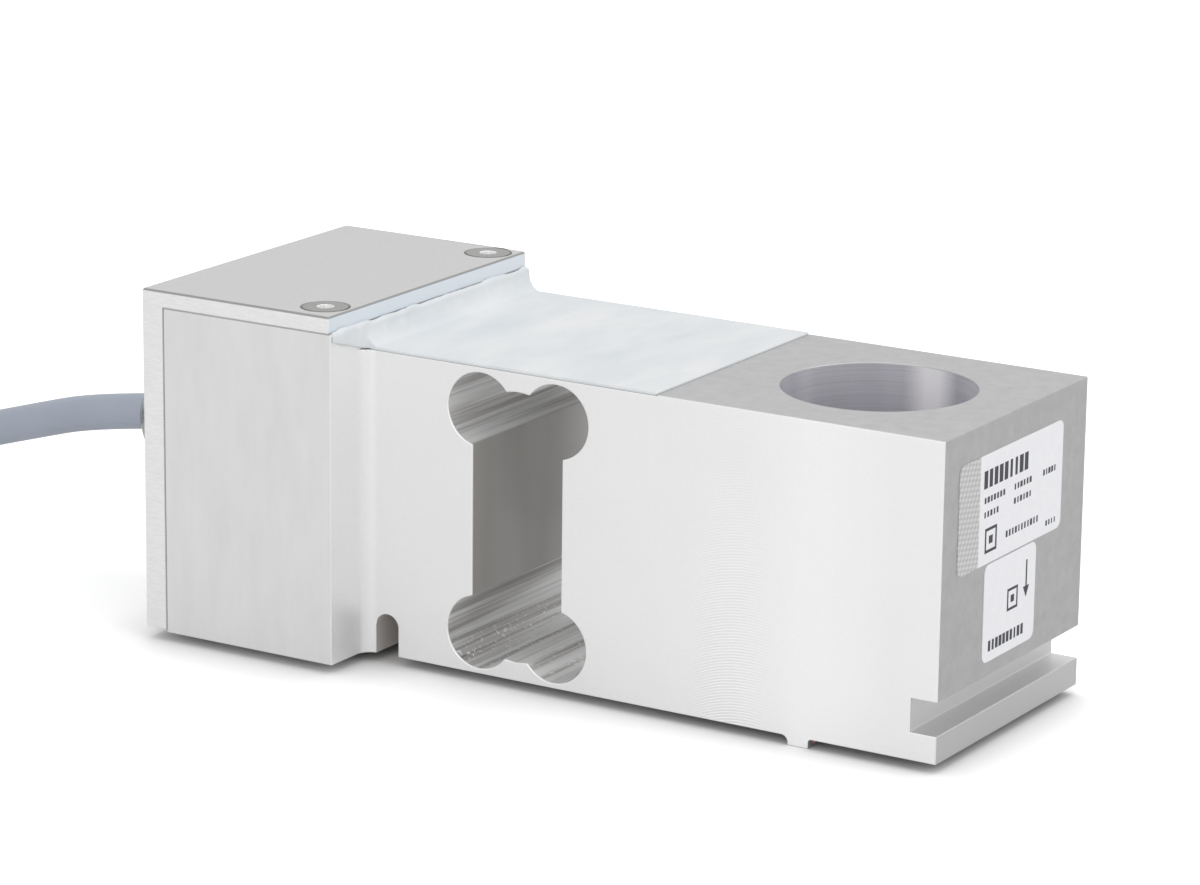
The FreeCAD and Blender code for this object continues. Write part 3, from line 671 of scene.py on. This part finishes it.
# The ridge in the tapped holes, and each group of four: middle, half spacing and turns.
threads = {"pitch": 0.0008, "radius": 0.00244, "depth": 0.00022, "rise": 0.0004,
           "loadThreads": (beam["boreX"], beam["boreY"], 0.009, 0.009, 18.0),
           "headThreads": (-0.05546, 0.0, 0.010, 0.020, 12.0)}


def makeThreads(material):
    # A thread ridge in each tapped hole, as a spiral placed on the holes' lower ends.
    inputs = {"Holes": "Geometry", "Turns": "Float", "Pitch": "Float", "Radius": "Float", "Depth": "Float"}
    shapes = Shapes("tappedThread", inputs)
    turns, radius = shapes.given("Turns"), shapes.given("Radius")
    sizes = {"Resolution": 22, "Rotations": turns, "Start Radius": radius, "End Radius": radius,
             "Height": turns * shapes.given("Pitch")}
    spiral = shapes.node("GeometryNodeCurveSpiral", {}, sizes)
    sizes = {"Resolution": 3, "Radius": shapes.given("Depth")}
    ridge = shapes.node("GeometryNodeCurvePrimitiveCircle", {}, sizes)
    thread = shapes.node("GeometryNodeCurveToMesh", {}, {"Curve": spiral, "Profile Curve": ridge})
    placed = {"Points": shapes.given("Holes"), "Instance": thread}
    shapes.close(shapes.node("GeometryNodeInstanceOnPoints", {}, placed), material)
    height = beam["base"] + threads["rise"]
    for name in ("loadThreads", "headThreads"):
        middleX, middleY, offX, offY, turnCount = threads[name]
        points = [(middleX + a * offX, middleY + b * offY, height) for a in (-1, 1) for b in (-1, 1)]
        values = {"Turns": turnCount, "Pitch": threads["pitch"], "Radius": threads["radius"],
                  "Depth": threads["depth"]}
        piece = shapes.made(name, values, points)
        evaluatedMesh(piece)
        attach(piece, "root")


# Rows of plain bars on the labels: start across, height, bars, pitch, bar width and height, seed.
printRows = [(-0.0060, 0.0459, 9, 0.0018, 0.0012, 0.0030, 3),
             (-0.0060, 0.0424, 7, 0.0011, 0.0007, 0.0010, 5),
             (0.0046, 0.0424, 6, 0.0011, 0.0007, 0.0010, 8),
             (0.0150, 0.0424, 5, 0.0010, 0.0007, 0.0010, 9),
             (-0.0060, 0.0400, 5, 0.0011, 0.0007, 0.0010, 2),
             (0.0046, 0.0400, 6, 0.0011, 0.0007, 0.0010, 4),
             (0.0020, 0.0350, 11, 0.0011, 0.0007, 0.0011, 6),
             (0.0165, 0.0334, 4, 0.0010, 0.0006, 0.0009, 7),
             (-0.0030, 0.0172, 10, 0.0013, 0.0009, 0.0018, 11)]
# The squares: corner and side. The arrow that shows the way of the load: top, reach and half width.
printMarks = {"proud": 0.00003, "squares": [(-0.0058, 0.0334, 0.0042), (0.0030, 0.0215, 0.0038)],
              "arrow": (0.0098, 0.0288, 0.0064, 0.0011)}


def barRows(material):
    # A tree that makes one row of bars of uneven width.
    inputs = {"Bars": "Int", "Pitch": "Float", "Width": "Float", "Height": "Float", "Seed": "Int",
              "Start": "Vector"}
    shapes = Shapes("printRow", inputs)
    step = shapes.node("ShaderNodeCombineXYZ", {}, {"Y": shapes.given("Pitch")})
    line = {"Count": shapes.given("Bars"), "Start Location": shapes.given("Start"), "Offset": step}
    line = shapes.node("GeometryNodeMeshLine", {}, line)
    size = {"X": printMarks["proud"], "Y": shapes.given("Width"), "Z": shapes.given("Height")}
    size = shapes.node("ShaderNodeCombineXYZ", {}, size)
    bar = shapes.node("GeometryNodeMeshCube", {}, {"Size": size})
    spread = {2: 0.55, 3: 1.15, "Seed": shapes.given("Seed")}
    spread = shapes.node("FunctionNodeRandomValue", {"data_type": "FLOAT"}, spread, out=1)
    scale = shapes.node("ShaderNodeCombineXYZ", {}, {"X": 1.0, "Y": spread, "Z": 1.0})
    placed = {"Points": line, "Instance": bar, "Scale": scale}
    shapes.close(shapes.node("GeometryNodeInstanceOnPoints", {}, placed), material)
    return shapes


def makePrint(material):
    shapes = barRows(material)
    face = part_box("rating_label")[1][0]
    joined = bmesh.new()
    for number, (across, height, bars, pitch, width, tall, seed) in enumerate(printRows):
        values = {"Bars": bars, "Pitch": pitch, "Width": width, "Height": tall, "Seed": seed,
                  "Start": (face, across, height)}
        row = shapes.made("row" + str(number), values)
        joined.from_mesh(evaluatedMesh(row))
        bpy.data.objects.remove(row)
    addSquares(joined, face)
    addArrow(joined, face)
    bmesh.ops.recalc_face_normals(joined, faces=joined.faces)
    mesh = bpy.data.meshes.new("labelPrint")
    joined.to_mesh(mesh)
    joined.free()
    mesh.materials.append(material)
    piece = bpy.data.objects.new("labelPrint", mesh)
    bpy.context.collection.objects.link(piece)
    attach(piece, "root")


def addFlat(shell, face, outline):
    # A flat printed shape, a hair proud of the film.
    half = printMarks["proud"] / 2
    made = shell.faces.new([shell.verts.new((face - half, y, z)) for y, z in outline])
    top = bmesh.ops.extrude_face_region(shell, geom=[made])["geom"]
    corners = [part for part in top if isinstance(part, bmesh.types.BMVert)]
    bmesh.ops.translate(shell, vec=(2 * half, 0, 0), verts=corners)


def addSquares(shell, face):
    # A square frame of four strips round a small square.
    for y, z, side in printMarks["squares"]:
        edge, near, far = side * 0.12, side * 0.34, side * 0.66
        strips = [(0, 0, side, edge), (0, side - edge, side, side), (0, edge, edge, side - edge),
                  (side - edge, edge, side, side - edge), (near, near, far, far)]
        for left, low, right, high in strips:
            addFlat(shell, face, [(y + left, z + low), (y + right, z + low), (y + right, z + high),
                                  (y + left, z + high)])


def addArrow(shell, face):
    y, z, reach, wide = printMarks["arrow"]
    half, neck = wide * 0.22, z - reach * 0.7
    addFlat(shell, face, [(y - half, z), (y + half, z), (y + half, neck), (y - half, neck)])
    addFlat(shell, face, [(y - wide, neck), (y + wide, neck), (y, z - reach)])


addCamera()
makeWorld()
makeFloor()
for name, (place, size, power) in studio["softboxes"].items():
    addSoftbox(name, place, size, power)
print("camera, lights and floor made")

finishes = makeFinishes()
slots = {part["node"]: part["material_slot"] for part in frame["record"]["subparts"]}
for name, piece in nodes.items():
    piece.data.materials.clear()
    piece.data.materials.append(finishes[slots[name]])
print("finishes given to", len(nodes), "nodes")

siliconeCoat()
makeThreads(finishes["machined_aluminium"])
makePrint(simpleFinish("printInk", label["ink"], rough=0.5))
print("silicone, threads and label print made")

cableLine = makeCable(finishes["cable_jacket"])
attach(cableLine, "root")
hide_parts("cable", "cable_hank")
glandBody = brokenEdges("gland_body", "glandBodyTurned", gland["bodyEdge"])
glandNut = brokenEdges("gland_nut", "glandNutTurned", gland["nutEdge"])
onCable = ["cable_tie_front", "cable_tie_back", "end_cores", "core_ferrules", "gland_bush", "gland_seal_ring",
           "cable_inlet"]
onCable = [glandBody, glandNut] + [nodes[name] for name in onCable]
print("cable and gland laid")

brokenEdges("spring_body", "machinedBody", beam["edgeBreak"])
brokenEdges("head_cover", "coverPlate", cover["edgeBreak"])
brokenEdges("cover_screws", "coverScrews", screws["edgeBreak"])
print("body, cover and screws finished")

bpy.context.scene.view_settings.view_transform = "Standard"
